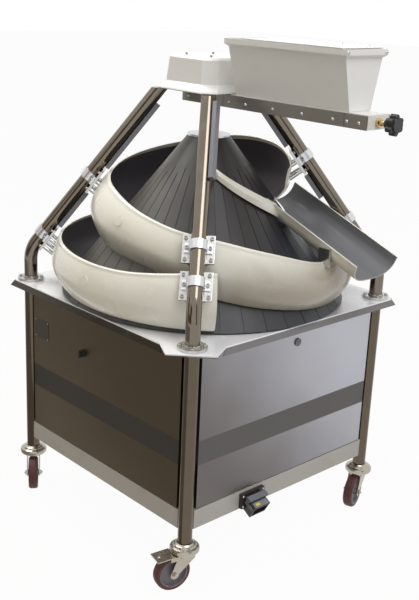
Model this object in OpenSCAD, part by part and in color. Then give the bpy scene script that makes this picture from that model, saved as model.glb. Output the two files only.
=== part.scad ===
// Conical dough rounder: a turning grooved cone inside a fixed spiral track,
// on a wheeled cabinet with a flour duster above. Millimetres, Z up, floor at Z = 0.
// The origin is on the floor under the axis of the cone.

/* [Cabinet] */
// Distance between the axes of neighbouring leg tubes
leg_spacing = 900; // [880:10:960]
// Outer diameter of the leg tubes and the uprights
tube_d = 48.3; // [42:0.1:54]
// Wall of the leg tubes and the uprights
tube_wall = 2.6; // [2:0.1:4]
// Height of the table's top face above the floor
table_h = 840; // [780:10:900]
// From a leg axis out to the bent edge of the table
table_edge = 50; // [40:5:80]
// Thickness of the table sheet
table_t = 3; // [2:0.5:4]
// Depth of the table's bent-down flange
flange_h = 25; // [15:1:40]
// How far the flange splays outwards
flange_splay = 9; // [0:1:12]
// Clearance from a leg tube to a side panel
panel_gap = 9; // [4:1:15]
// Depth of the folded panels
panel_depth = 18; // [10:1:30]
// Thickness of the panel sheet
panel_t = 1.5; // [1:0.5:3]
// From the leg axes out to the panel faces
panel_out = 12; // [5:1:20]
// Height of the lower edge of the plinth rails
plinth_z = 206; // [190:2:240]
// Height of the plinth rails
plinth_h = 68; // [50:2:90]
// Depth of the plinth rails
plinth_d = 40; // [30:2:50]

/* [Cone] */
// Radius of the cone at its foot
cone_r = 512; // [480:4:520]
// Radius of the cone at its top
cone_top_r = 75; // [60:5:120]
// Height of the cone
cone_h = 556; // [500:5:600]
// Running gap between the table and the cone
cone_lift = 6; // [4:1:12]
// Wall of the cone, measured along the radius
cone_wall = 7; // [5:1:12]
// Number of grooves
grooves = 40; // [24:4:48]
// Width of a groove
groove_w = 3; // [2:0.5:5]
// Depth of a groove
groove_d = 2; // [1:0.5:3]
// Radius at which the long grooves start
groove_r1 = 150; // [120:5:180]
// Radius at which the short grooves start
groove_r2 = 167; // [150:5:200]
// Radius of the main shaft
shaft_r = 20; // [15:1:25]

/* [Spiral track] */
// Gap between the cone and the lower edge of the track
track_gap = 3; // [2:1:8]
// Thickness of the track wall
track_t = 8; // [6:1:12]
// How far the wall bulges outwards from its lower edge
track_bulge = 40; // [20:2:60]

/* [Uprights] */
// Height above the table where the uprights start to lean inwards
bend_z = 116; // [100:2:140]
// Radius of that bend
bend_r = 120; // [90:10:160]
// Distance of the leaning tubes from the two middle planes at the hub
hub_off = 124; // [110:2:140]
// Height of the hub plate's underside above the table
hub_z = 719; // [680:5:760]
// Width of the skirt of the hub cover
hub_w = 300; // [260:5:340]
// Height of the hub cover
cover_h = 112; // [80:5:140]
// Radius of the discs at the feet of the uprights
disc_r = 48; // [44:1:54]
// Thickness of those discs
disc_t = 10; // [6:1:14]

/* [Chute] */
// Inner width of the chute
chute_w = 210; // [180:5:215]
// Depth of the chute
chute_d = 66; // [50:2:80]
// Thickness of the chute
chute_t = 4; // [3:0.5:6]
// Distance of the near wall of the chute from the middle plane
chute_y = 90; // [80:2:100]
// Distance of the chute's mouth from the cone's axis
chute_x = 634; // [600:5:700]
// Angle of the chute's fall
chute_fall = 19.7; // [17:0.1:22]

/* [Flour duster] */
// Left end of the duster's side bars
bar_x0 = -85; // [-100:5:-60]
// Right end of the duster's side bars
bar_x1 = 730; // [700:5:780]
// Height of the side bars
bar_h = 42; // [36:2:50]
// Thickness of the side bars
bar_t = 6; // [4:1:8]
// Width over both side bars
bar_w = 110; // [100:2:130]
// Left end of the hopper's foot
hopper_x0 = 170; // [160:5:200]
// Length of the hopper's foot
hopper_l = 484; // [400:4:500]
// Width of the hopper under its rim
hopper_w = 172; // [140:4:200]
// Height of the hopper
hopper_h = 182; // [140:4:220]
// Wall of the hopper
hopper_t = 3; // [2:0.5:4]
// Height of the hopper's rim
rim_h = 26; // [16:2:34]
// How far the rim stands out
rim_out = 11; // [6:1:14]
// Radius of the dosing roller
roller_r = 30; // [24:1:32]
// Radius of its shaft
dose_r = 6; // [5:0.5:8]
// Diameter of the star knob
knob_d = 64; // [50:2:80]

/* [Casters] */
// Height of a caster
caster_h = 165; // [160:1:180]
// Diameter of a wheel
wheel_d = 125; // [100:1:130]
// Width of the tread
tread_w = 34; // [28:1:38]
// How far the axle trails the swivel axis
trail = 45; // [36:1:52]
// Radius of a caster's cover cup
cup_r = 50; // [46:1:56]

/* [Hidden] */
$fn = 96;

a = leg_spacing / 2;
tube_r = tube_d / 2;
table_b = a + table_edge;
face_out = a + panel_out;
panel_half = a - tube_r - panel_gap;
floor_t = 3;
panel_z0 = plinth_z + plinth_h + floor_t + 0.05;
panel_z1 = table_h - table_t - 4;
cone_z = table_h + cone_lift;
cone_k = (cone_r - cone_top_r) / cone_h;
shaft_fit = 0.05;
seat = 0.3;
hub_h = table_h + hub_z;
bend_h = table_h + bend_z;
lean = (a - hub_off) / (hub_z - bend_z);
lean_angle = atan(lean * sqrt(2));
corners = [[1, -1], [-1, -1], [1, 1], [-1, 1]];

// radius of the cone's surface at a height above the table
function cone_at(z) = cone_r - cone_k * (z - cone_lift);
// distance of an upright's axis from the cone's axis at a height above the table
function upright_at(z) = (a - lean * (z - bend_z)) * sqrt(2);
// smooth step from 0 to 1
module ring(ro, ri, h) {
    difference() {
        cylinder(r = ro, h = h);
        translate([0, 0, -1]) cylinder(r = ri, h = h + 2);
    }
}

// a round rod from one point to another
module rod(p, q, r) {
    d = q - p;
    l = norm(d);
    translate(p)
        rotate([0, acos(d[2] / l), atan2(d[1], d[0])])
            cylinder(r = r, h = l);
}

module at_legs() {
    for (c = corners) translate([c[0] * a, c[1] * a, 0]) children();
}

// Cabinet

module leg_tubes() {
    color("silver")
        at_legs() translate([0, 0, caster_h])
            ring(tube_r, tube_r - tube_wall, table_h - table_t - caster_h);
}

corner_cut = 22;
tab_start = 147;
tab_lip = 8;
lip_in = 6;
table_hole = 62;

module table_flange(l0, l1) {
    slope = sqrt(flange_h * flange_h + flange_splay * flange_splay);
    flare = 20;
    translate([0, -table_b, table_h])
        rotate([-90 - atan2(flange_splay, flange_h), 0, 0])
            linear_extrude(table_t)
                polygon([[l0, 0], [l1, 0], [l1 + flare, slope], [l0 - flare, slope]]);
}

module table_top() {
    b = table_b;
    c = corner_cut;
    n0 = [b - tab_start, -b];
    n1 = [b - 66, -b - 46];
    n2 = [b + 46, -b + 66];
    n3 = [b, -b + tab_start];
    color("whitesmoke") {
        difference() {
            translate([0, 0, table_h - table_t])
                linear_extrude(table_t)
                    polygon([[-b + c, -b], n0, n1, n2, n3, [b, b - c], [b - c, b], [-b + c, b],
                        [-b, b - c], [-b, -b + c]]);
            translate([0, 0, table_h - table_t - 1]) cylinder(r = table_hole, h = table_t + 2);
        }
        table_flange(-b + c, b - tab_start);
        rotate([0, 0, 90]) table_flange(-b + tab_start, b - c);
        rotate([0, 0, 180]) table_flange(-b + c, b - c);
        rotate([0, 0, 270]) table_flange(-b + c, b - c);
        translate([0, 0, table_h - tab_lip])
            difference() {
                linear_extrude(tab_lip - 1) polygon([n0, n1, n2, n3]);
                translate([-lip_in, lip_in, -1]) linear_extrude(tab_lip) polygon([n0, n1, n2, n3]);
            }
    }
}

// folded sheet tray, open to the inside, with its face towards -Y
module panel() {
    w = 2 * panel_half;
    difference() {
        translate([-panel_half, -face_out, panel_z0])
            cube([w, panel_depth, panel_z1 - panel_z0]);
        translate([-panel_half + panel_t, -face_out + panel_t, panel_z0 + panel_t])
            cube([w - 2 * panel_t, panel_depth, panel_z1 - panel_z0 - 2 * panel_t]);
    }
}

switch_pos = [-103, table_h - 185];
lock_pos = [23, table_h - 79];
fitting_r = 11;

module front_panel() {
    color("dimgray")
        difference() {
            panel();
            translate([switch_pos[0], -face_out - 1, switch_pos[1]])
                rotate([-90, 0, 0]) cylinder(r = fitting_r, h = panel_depth);
        }
}

module rear_panel() {
    color("dimgray") rotate([0, 0, 180]) panel();
}

module right_panel() {
    color("silver")
        difference() {
            rotate([0, 0, 90]) panel();
            translate([face_out + 1, lock_pos[0], lock_pos[1]])
                rotate([0, -90, 0]) cylinder(r = fitting_r, h = panel_depth);
        }
}

module left_panel() {
    color("dimgray") rotate([0, 0, 270]) panel();
}

module plinth_rails() {
    l = 2 * (a - tube_r) - 0.1;
    w = 3;
    color("gainsboro")
        for (k = [0:3]) rotate([0, 0, 90 * k])
            translate([-l / 2, -face_out - 1, plinth_z])
                difference() {
                    cube([l, plinth_d, plinth_h]);
                    translate([-1, w, w]) cube([l + 2, plinth_d - 2 * w, plinth_h - 2 * w]);
                }
}

module floor_plate() {
    s = face_out - 6;
    n = a - tube_r - 8;
    color("gray")
        translate([0, 0, plinth_z + plinth_h])
            linear_extrude(floor_t)
                polygon([[-n, -s], [n, -s], [n, -n], [s, -n], [s, n], [n, n], [n, s], [-n, s],
                    [-n, n], [-s, n], [-s, -n], [-n, -n]]);
}

// Drive

pulley_z = table_h - 230;
pulley_w = 34;
motor_x = -230;
big_pulley_r = 90;
small_pulley_r = 45;
belt_t = 5;
housing_r = 58;
housing_flange_r = 95;

module bearing_housing() {
    low = table_h - 170;
    color("slategray")
        difference() {
            union() {
                translate([0, 0, low]) cylinder(r = housing_r, h = table_h + 14 - low);
                translate([0, 0, table_h]) cylinder(r = housing_flange_r, h = 10);
            }
            translate([0, 0, low - 1]) cylinder(r = shaft_r + shaft_fit, h = 200);
        }
}

module main_shaft() {
    color("silver")
        translate([0, 0, pulley_z - 10])
            cylinder(r = shaft_r, h = cone_z + cone_h - 12 - pulley_z + 10);
}

module pulley(r, bore) {
    difference() {
        rotate_extrude()
            polygon([[0, 0], [r + 4, 0], [r + 4, 3], [r, 4], [r, pulley_w - 4], [r + 4, pulley_w - 3],
                [r + 4, pulley_w], [0, pulley_w]]);
        translate([0, 0, -1]) cylinder(r = bore, h = pulley_w + 2);
    }
}

module driven_pulley() {
    color("dimgray") translate([0, 0, pulley_z]) pulley(big_pulley_r, shaft_r + shaft_fit);
}

motor_shaft_r = 12;

module drive_pulley() {
    color("dimgray")
        translate([motor_x, 0, pulley_z]) {
            pulley(small_pulley_r, motor_shaft_r - 2);
            translate([0, 0, -30]) cylinder(r = motor_shaft_r, h = pulley_w + 34);
        }
}

// flat loop round both pulleys
module drive_belt() {
    g = seat;
    rb = big_pulley_r + g;
    rs = small_pulley_r + g;
    t = asin((rb - rs) / abs(motor_x));
    color("black")
        translate([0, 0, pulley_z + 6])
            linear_extrude(pulley_w - 12)
                difference() {
                    belt_outline(rb + belt_t, rs + belt_t, t);
                    belt_outline(rb, rs, t);
                }
}

module belt_outline(rb, rs, t) {
    circle(r = rb);
    translate([motor_x, 0]) circle(r = rs);
    polygon([[-rb * sin(t), rb * cos(t)], [motor_x - rs * sin(t), rs * cos(t)],
        [motor_x - rs * sin(t), -rs * cos(t)], [-rb * sin(t), -rb * cos(t)]]);
}

module gear_motor() {
    top = pulley_z - 8;
    color("steelblue")
        translate([motor_x, 0, 0]) {
            difference() {
                translate([-60, -60, top - 110]) cube([120, 120, 110]);
                translate([0, 0, top - 40]) cylinder(r = motor_shaft_r + shaft_fit, h = 60);
            }
            translate([0, 0, top - 112 - 180]) cylinder(r = 62, h = 182);
            translate([0, 0, top - 112 - 210]) cylinder(r = 58, h = 30);
            translate([60, -25, top - 250]) cube([28, 50, 80]);
        }
}

module motor_bracket() {
    top = table_h - table_t;
    low = pulley_z - 118;
    color("gray")
        translate([motor_x - 60 - 8.05, -70, low])
            difference() {
                cube([8, 140, top - low]);
                translate([-1, 45, 20]) cube([10, 50, 60]);
            }
    color("gray") translate([motor_x - 66, -70, top - 8.05]) cube([70, 140, 8]);
}

// Cone

module cone_shell() {
    slope = atan(cone_h / (cone_r - cone_top_r));
    color("dimgray")
        translate([0, 0, cone_z])
            difference() {
                cylinder(r1 = cone_r, r2 = cone_top_r, h = cone_h);
                translate([0, 0, -0.01])
                    cylinder(r1 = cone_r - cone_wall, r2 = cone_top_r - cone_wall, h = cone_h + 0.02);
                for (k = [0:grooves - 1]) {
                    r0 = k % 2 == 0 ? groove_r1 : groove_r2;
                    run = (cone_r - r0) / cos(slope) + 20;
                    rotate([0, 0, k * 360 / grooves])
                        translate([r0, 0, (cone_r - r0) / cone_k])
                            rotate([0, slope, 0])
                                translate([0, -groove_w / 2, -groove_d]) cube([run, groove_w, 10]);
                }
            }
}

hub_web = 30;

module cone_hub() {
    inner = cone_r - cone_wall - cone_k * (hub_web + 6) - 0.2;
    color("gray")
        translate([0, 0, cone_z])
            difference() {
                union() {
                    translate([0, 0, hub_web]) cylinder(r = inner, h = 6);
                    translate([0, 0, 14]) cylinder(r = 46, h = 50);
                }
                translate([0, 0, 0]) cylinder(r = shaft_r + shaft_fit, h = 100);
            }
}

module cone_cap() {
    color("lightgray")
        translate([0, 0, cone_z + cone_h])
            difference() {
                union() {
                    cylinder(r = cone_top_r + 1, h = 7);
                    translate([0, 0, -14]) cylinder(r = cone_top_r - cone_wall - 0.3, h = 14.1);
                }
                translate([0, 0, -40]) cylinder(r = shaft_r + shaft_fit, h = 30);
            }
}

// Uprights and hub

foot_collar = 12;
// the bend is a touch thicker than the straight tube, as a bent tube is
bend_swell = 0.05;

module upright() {
    bend_half = bend_r * tan(lean_angle / 2);
    straight = bend_z - bend_half - disc_t;
    run = (hub_z - bend_z) / cos(lean_angle) - bend_half + 40;
    translate([0, 0, disc_t]) {
        cylinder(r = tube_r, h = straight);
        translate([-bend_r, 0, straight]) rotate([90, 0, 0])
            rotate_extrude(angle = lean_angle)
                translate([bend_r, 0]) circle(r = tube_r + bend_swell);
        translate([-bend_r + bend_r * cos(lean_angle), 0, straight + bend_r * sin(lean_angle)])
            rotate([0, -lean_angle, 0]) cylinder(r = tube_r, h = run);
    }
}

module upright_tubes() {
    top = hub_z - 0.05;
    color("silver")
        for (c = corners)
            translate([c[0] * a, c[1] * a, table_h])
                rotate([0, 0, atan2(c[1], c[0])])
                    difference() {
                        upright();
                        translate([-2 * a, -100, top]) cube([2 * a, 200, 200]);
                    }
}

module upright_discs() {
    color("lightgray")
        at_legs() translate([0, 0, table_h]) {
            cylinder(r = disc_r, h = disc_t - 0.05);
            translate([0, 0, disc_t]) ring(tube_r + 4, tube_r + 0.1, foot_collar - disc_t + 4);
        }
}

module disc_bolts() {
    color("darkgray")
        for (c = corners) translate([c[0] * a, c[1] * a, table_h + disc_t])
            for (k = [0:3]) rotate([0, 0, 90 * k + 45])
                translate([disc_r - 10, 0, 0]) cylinder(r = 6, h = 6, $fn = 6);
}

module chamfered(w, c) {
    h = w / 2;
    polygon([[-h + c, -h], [h - c, -h], [h, -h + c], [h, h - c], [h - c, h], [-h + c, h],
        [-h, h - c], [-h, -h + c]]);
}

hub_plate_t = 8;
cover_t = 3;

stud_pitch = 124;
stud_r = 4;
stud_out = 6;
stud_collar = 0.2;
cover_z = hub_h + 3;

// plate with four posts that carry the cover and end in studs
module hub_plate() {
    inside = cover_z + cover_h - cover_t - 1.05;
    color("gray") {
        translate([0, 0, hub_h]) linear_extrude(hub_plate_t) chamfered(hub_w - 16, 40);
        for (x = [-1, 1], y = [-1, 1])
            translate([x * stud_pitch / 2, y * stud_pitch / 2, hub_h]) {
                cylinder(r = 2 * stud_r, h = inside - hub_h);
                cylinder(r = stud_r + stud_collar, h = cover_z + cover_h + 0.05 - hub_h);
                cylinder(r = stud_r, h = cover_z + cover_h + stud_out - hub_h);
            }
    }
}

// pressed cover: body with drawn-in sides over a flared skirt
module cover_shape(o) {
    w = hub_w - 2 * o;
    hull() {
        linear_extrude(0.5) chamfered(w, 40);
        translate([0, 0, 6]) linear_extrude(0.5) chamfered(w - 4, 40);
        translate([0, 0, 26]) linear_extrude(0.5) chamfered(w - 44, 40);
    }
    hull() {
        translate([0, 0, 26]) linear_extrude(0.5) chamfered(w - 44, 40);
        translate([0, 0, cover_h - o - 8]) linear_extrude(0.5) chamfered(w - 60, 38);
        translate([0, 0, cover_h - o - 0.5]) linear_extrude(0.5) chamfered(w - 74, 36);
    }
}

module hub_cover() {
    color("white")
        translate([0, 0, cover_z])
            difference() {
                cover_shape(0);
                translate([0, 0, -1]) cover_shape(cover_t);
                cube([hub_w - 60, hub_w - 60, 4], center = true);
                for (x = [-1, 1], y = [-1, 1])
                    translate([x * stud_pitch / 2, y * stud_pitch / 2, 0])
                        cylinder(r = stud_r + 2 * stud_collar, h = cover_h + 1);
            }
}

// flat ducts along the leaning uprights
duct_w = 26;
duct_h = 16;

module duct(c, z0, z1, side) {
    r = tube_r + duct_h / 2 + 0.05;
    l = (z1 - z0) / cos(lean_angle);
    translate([c[0] * (a - lean * (z0 - bend_z)), c[1] * (a - lean * (z0 - bend_z)), table_h + z0])
        rotate([0, 0, atan2(c[1], c[0])])
            rotate([0, -lean_angle, 0])
                rotate([0, 0, side])
                    translate([-r - duct_h / 2, -duct_w / 2, 0]) cube([duct_h, duct_w, l]);
}

module air_ducts() {
    color("dimgray") {
        duct(corners[1], 226, 352, 0);
        duct(corners[1], 448, hub_z - 40, 0);
        duct(corners[2], 380, 456, 0);
        duct(corners[2], 556, hub_z - 40, 0);
        duct(corners[0], 470, hub_z - 30, -118);
    }
}

// Spiral track

// clockwise turn angle, lower edge and top edge above the table, and how far the top edge
// stands out from the lower edge
stations = [[38, 15, 208, 4], [75, 20, 184, 12], [115, 24, 190, 12], [165, 28, 200, 12],
    [250, 30, 200, 12], [320, 32, 196, 10], [352, 41, 204, 8], [376, 67, 255, 6], [397, 100, 296, 8],
    [415, 140, 316, 8], [433, 171, 344, 4], [460, 188, 390, -14], [495, 204, 424, -26],
    [555, 246, 484, -18], [605, 290, 530, -22], [640, 318, 522, 16], [688, 352, 470, 48]];
track_step = 6;
wall_n = 7;

function station_index(t, i = 0) =
    i >= len(stations) - 2 || t < stations[i + 1][0] ? i : station_index(t, i + 1);
function slope_at(i, k) = i <= 0 || i >= len(stations) - 1 ? 0
    : (stations[i + 1][k] - stations[i - 1][k]) / (stations[i + 1][0] - stations[i - 1][0]);
// smooth curve through the stations
function curve(t, k) =
    let (i = station_index(t), p = stations[i], q = stations[i + 1], w = q[0] - p[0],
        s = max(0, min(1, (t - p[0]) / w)))
    p[k] * (2 * s * s * s - 3 * s * s + 1) + q[k] * (3 * s * s - 2 * s * s * s)
    + slope_at(i, k) * w * (s * s * s - 2 * s * s + s)
    + slope_at(i + 1, k) * w * (s * s * s - s * s);
// how far the wall stands out from its lower edge, at a share of its height
function wall_out(t, s) =
    track_bulge * sin(90 * min(1, s / 0.5))
    + (curve(t, 3) - track_bulge) * pow(max(0, s - 0.45) / 0.55, 2);
function wall_r(t, z) =
    let (lo = curve(t, 1), hi = curve(t, 2))
    cone_at(lo) + track_gap + wall_out(t, max(0, min(1, (z - lo) / (hi - lo))));
function wall_point(t, s, off) =
    let (lo = curve(t, 1), hi = curve(t, 2), r = cone_at(lo) + track_gap + wall_out(t, s) + off)
    [r * cos(-t), r * sin(-t), table_h + lo + s * (hi - lo)];

// closed band of wall between two turn angles
module track_band(t0, t1) {
    n = ceil((t1 - t0) / track_step);
    m = wall_n + 1;
    pts = [for (i = [0:n]) let (t = t0 + (t1 - t0) * i / n)
        each concat([for (j = [0:wall_n]) wall_point(t, j / wall_n, 0)],
            [for (j = [0:wall_n]) wall_point(t, (wall_n - j) / wall_n, track_t)])];
    k = 2 * m;
    sides = [for (i = [0:n - 1], j = [0:k - 1])
        each [[i * k + j, (i + 1) * k + (j + 1) % k, i * k + (j + 1) % k],
            [i * k + j, (i + 1) * k + j, (i + 1) * k + (j + 1) % k]]];
    ends = [for (j = [0:wall_n - 1])
        each [[j, j + 1, k - 1 - j], [j + 1, k - 2 - j, k - 1 - j],
            [n * k + j, n * k + k - 1 - j, n * k + j + 1],
            [n * k + j + 1, n * k + k - 1 - j, n * k + k - 2 - j]]];
    polyhedron(pts, concat(sides, ends));
}

seam_1 = 268;
seam_2 = 470;
seam_gap = 0.04;

module track_lower() {
    color("ivory") track_band(stations[0][0], seam_1 - seam_gap);
}

module track_middle() {
    color("ivory") track_band(seam_1 + seam_gap, seam_2 - seam_gap);
}

module track_upper() {
    color("ivory") track_band(seam_2 + seam_gap, stations[len(stations) - 1][0]);
}

// Clamps: corner, height above the table, turn angle of the track there
clamps = [[0, 192, 45], [0, 290, 405], [1, 180, 135], [1, 400, 495], [2, 190, 315], [2, 505, 675],
    [3, 185, 225], [3, 400, 585]];
chute_clamp = [2, 288];
chute_plate = 50;
plate_w = 104;
plate_l = 96;
plate_t = 9;
plate_off = tube_r + plate_t / 2 + 0.05;

// places its children on an upright, X pointing away from the cone, Z along the tube
module on_upright(corner, z) {
    c = corners[corner];
    d = a - lean * (z - bend_z);
    translate([c[0] * d, c[1] * d, table_h + z])
        rotate([0, 0, atan2(c[1], c[0])])
            rotate([0, -lean_angle, 0]) children();
}

module clamp_plate(w, l) {
    translate([-plate_off - plate_t / 2, -w / 2, -l / 2]) cube([plate_t, w, l]);
}

module clamp_plates() {
    color("lightgray") {
        for (k = clamps) on_upright(k[0], k[1]) clamp_plate(plate_w, plate_l);
        on_upright(chute_clamp[0], chute_clamp[1]) clamp_plate(chute_plate, 44);
    }
}

saddle_w = 32;
saddle_t = 6;

module saddle(foot) {
    difference() {
        union() {
            translate([0, 0, -saddle_w / 2]) cylinder(r = tube_r + saddle_t, h = saddle_w);
            translate([-tube_r, -foot, -saddle_w / 2]) cube([8, 2 * foot, saddle_w]);
        }
        translate([0, 0, -saddle_w]) cylinder(r = tube_r + 0.05, h = 2 * saddle_w);
        translate([-tube_r * 2 - 0.02, -100, -saddle_w]) cube([tube_r, 200, 2 * saddle_w]);
    }
}

module clamp_saddles() {
    color("silver") {
        for (k = clamps) on_upright(k[0], k[1]) saddle(tube_r + 20);
        on_upright(chute_clamp[0], chute_clamp[1]) saddle(tube_r + saddle_t + 1);
    }
}

screw_r = 6;

module clamp_screw() {
    rotate([0, 90, 0])
        difference() {
            cylinder(r = screw_r, h = 7);
            translate([0, 0, 3.5]) cylinder(r = 3, h = 4, $fn = 6);
        }
}

module clamp_screws() {
    color("gray")
        for (k = clamps) on_upright(k[0], k[1]) {
            for (y = [-1, 1], z = [-1, 1])
                translate([-plate_off + plate_t / 2, y * (plate_w / 2 - 11), z * (plate_l / 2 - 12)])
                    clamp_screw();
            for (y = [-1, 1])
                translate([-tube_r + 8, y * (tube_r + 13), 0]) clamp_screw();
        }
}

// length of a stand-off from a plate down to the wall: turn angle, radius and height of its foot
function reach(t, r, z, l = 20, n = 0) = n == 6 ? l
    : reach(t, r, z, max(3, (r - wall_r(t, z - l * sin(lean_angle)) - track_t) / cos(lean_angle)), n + 1);
bite = 3;
off_rows = [-34, 2];

// square to each plate, ending in the track's wall
module track_standoffs() {
    back = plate_off + plate_t / 2 + 0.05;
    aside = plate_w / 2 - 24;
    color("silver")
        for (k = clamps, y = [-1, 1], along = off_rows) {
            z = k[1] + along * cos(lean_angle) - back * sin(lean_angle);
            r = upright_at(k[1]) - along * sin(lean_angle) - back * cos(lean_angle);
            l = reach(k[2], r + aside * aside / (2 * r), z) + bite;
            on_upright(k[0], k[1])
                translate([-back, y * aside, along]) rotate([0, -90, 0]) cylinder(r = 7, h = l);
        }
}

// Chute

// outline of the trough, from the near rim round to the far rim
function trough(w, d) = [for (i = [0:14]) let (t = 180 + 180 * i / 14)
    [w / 2 * (cos(t) < 0 ? -1 : 1) * pow(abs(cos(t)), 0.7), -d * pow(abs(sin(t)), 0.75)]];
chute_lip = 6;
chute_rim = 217;
chute_back = 150;

module chute_frame() {
    translate([chute_x, chute_y + chute_w / 2, table_h + chute_rim])
        rotate([0, chute_fall, 0])
            rotate([90, 0, -90]) mirror([1, 0, 0]) children();
}

module chute() {
    run = (chute_x - chute_back) / cos(chute_fall);
    color("lightgray")
        difference() {
            chute_frame()
                linear_extrude(run)
                    difference() {
                        union() {
                            polygon(trough(chute_w + 2 * chute_t, chute_d + chute_t));
                            translate([-chute_w / 2 - chute_lip, -4]) square([chute_w + 2 * chute_lip, 4]);
                        }
                        polygon(concat([[-chute_w / 2, 10]], trough(chute_w, chute_d), [[chute_w / 2, 10]]));
                    }
            translate([0, 0, cone_z - 1])
                cylinder(r1 = cone_r + 6 + cone_k, r2 = cone_top_r + 6 + cone_k, h = cone_h);
        }
}

// curved wall that leads the dough off the cone into the chute
guide_t0 = -23;
guide_t1 = 33;
guide_z0 = 352;
guide_z1 = 474;

module chute_guide() {
    n = 12;
    pts = [for (i = [0:n]) let (s = i / n, t = guide_t0 + (guide_t1 - guide_t0) * s,
            z = guide_z0 + (guide_z1 - guide_z0) * s, h = 54 - 22 * s)
        each [for (p = [[z, 22], [z, 26], [z - h / 2, 22 + 4], [z - h, 12], [z - h, 8], [z - h / 2, 20]])
            let (r = cone_at(p[0]) + p[1]) [r * cos(-t), r * sin(-t), table_h + p[0]]]];
    sides = [for (i = [0:n - 1], j = [0:5])
        each [[i * 6 + j, i * 6 + (j + 1) % 6, (i + 1) * 6 + (j + 1) % 6],
            [i * 6 + j, (i + 1) * 6 + (j + 1) % 6, (i + 1) * 6 + j]]];
    ends = [[0, 5, 2], [0, 2, 1], [5, 4, 3], [5, 3, 2],
        for (f = [[0, 5, 2], [0, 2, 1], [5, 4, 3], [5, 3, 2]]) [f[2] + n * 6, f[1] + n * 6, f[0] + n * 6]];
    color("silver") polyhedron(pts, concat(sides, ends));
}

module chute_brackets() {
    arm_z = guide_z1 - 16;
    r = cone_at(arm_z) + 24;
    far_y = chute_y + chute_w + chute_t;
    color("gray") {
        rod([r * cos(-guide_t1), r * sin(-guide_t1), table_h + arm_z],
            [(upright_at(arm_z) - tube_r / cos(lean_angle)) * cos(-45),
                (upright_at(arm_z) - tube_r / cos(lean_angle)) * sin(-45), table_h + arm_z], 6);
        translate([chute_x - 160, chute_y - 12, table_h + 190]) cube([50, 8, 60]);
        translate([upright_at(chute_clamp[1]) / sqrt(2) - 46, far_y - 4, table_h + chute_clamp[1] - 22])
            cube([40, 14, 34]);
    }
}

// Flour duster

bar_z = hub_h - bar_h - 0.05;
tray_x0 = hub_w / 2 + 1;
tray_h = bar_h + 2;
tray_wall = 8;
dose_z = bar_z + bar_h / 2;
hopper_z = bar_z + tray_h + 0.05;
tray_half = bar_w / 2 - bar_t - 0.05;
slot_l = hopper_l - 40;

module duster_bars() {
    color("darkkhaki")
        for (s = [-1, 1])
            translate([bar_x0, s > 0 ? bar_w / 2 - bar_t : -bar_w / 2, bar_z])
                cube([bar_x1 - bar_x0, bar_t, bar_h]);
}

roller_x0 = hopper_x0 + 8;
roller_x1 = hopper_x0 + hopper_l - 8;
bore_r = min(roller_r + 1.5, bar_h / 2 - 2);

module duster_tray() {
    color("white")
        difference() {
            translate([tray_x0, -tray_half, bar_z]) cube([bar_x1 - tray_x0, 2 * tray_half, tray_h]);
            translate([roller_x0 - 4, 0, dose_z]) rotate([0, 90, 0])
                cylinder(r = bore_r, h = roller_x1 - roller_x0 + 8);
            translate([tray_x0 - 1, 0, dose_z]) rotate([0, 90, 0])
                cylinder(r = dose_r + shaft_fit, h = bar_x1 - tray_x0 + 2);
            translate([hopper_x0 + 20, -14, dose_z]) cube([slot_l, 28, tray_h]);
            translate([hopper_x0 + 20, -4, bar_z - 1]) cube([slot_l, 8, tray_h / 2]);
        }
}

// hopper blank: foot, drawn-out body and rim
module hopper_shape(o, lid) {
    l = hopper_l - 2 * o;
    w = bar_w - 10 - 2 * o;
    body_h = hopper_h - rim_h;
    hull() {
        translate([o, -w / 2, 0]) cube([l, w, 0.5]);
        translate([o - 8, -hopper_w / 2 + o, body_h]) cube([l + 8, hopper_w - 2 * o, 0.5]);
    }
    hull() {
        translate([o - 8, -hopper_w / 2 + o, body_h]) cube([l + 8, hopper_w - 2 * o, 0.5]);
        translate([o - 8 - rim_out, -hopper_w / 2 - rim_out + o, body_h + 8])
            cube([l + 8 + 2 * rim_out, hopper_w + 2 * rim_out - 2 * o, hopper_h - body_h - 8 + lid]);
    }
}

hopper_y = 6;

module hopper() {
    color("white")
        translate([hopper_x0, hopper_y, hopper_z])
            difference() {
                hopper_shape(0, 0);
                translate([0, 0, hopper_t]) hopper_shape(hopper_t, 20);
                translate([20, -14 - hopper_y, -1]) cube([slot_l, 28, 10]);
            }
}

lid_x0 = hopper_x0 + 60;
lid_t = 3;
lid_l = hopper_l - 66;
lid_z = hopper_z + hopper_h + 0.5;
lid_y1 = hopper_y + hopper_w / 2 + rim_out;
hinge_r = 4;
hinge_y = lid_y1 + hinge_r + 0.6;
hinge_x = [hopper_x0 + 287, hopper_x0 + 394];

module hopper_lid() {
    color("white")
        difference() {
            union() {
                translate([lid_x0, hopper_y - hopper_w / 2 - rim_out, lid_z])
                    cube([lid_l, hopper_w + 2 * rim_out - 6, lid_t]);
                for (x = hinge_x) {
                    translate([x - 12, lid_y1 - 8, lid_z]) cube([24, 8 + hinge_y - lid_y1, lid_t]);
                    translate([x - 12, hinge_y, lid_z + 2]) rotate([0, 90, 0]) cylinder(r = hinge_r, h = 24);
                }
            }
            for (x = hinge_x) translate([x - 30, hinge_y, lid_z + 2]) rotate([0, 90, 0])
                cylinder(r = 1.5 + shaft_fit, h = 60);
        }
}

module lid_hinges() {
    color("silver")
        for (x = hinge_x) {
            translate([x - 24, hinge_y, lid_z + 2]) rotate([0, 90, 0]) cylinder(r = 1.5, h = 48);
            for (s = [-24, 12.5]) {
                translate([x + s, hinge_y, lid_z + 2]) rotate([0, 90, 0]) cylinder(r = hinge_r, h = 11.5);
                translate([x + s, lid_y1 + 0.05, hopper_z + hopper_h - 20]) cube([11.5, 2.5, 23]);
            }
        }
}

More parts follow.
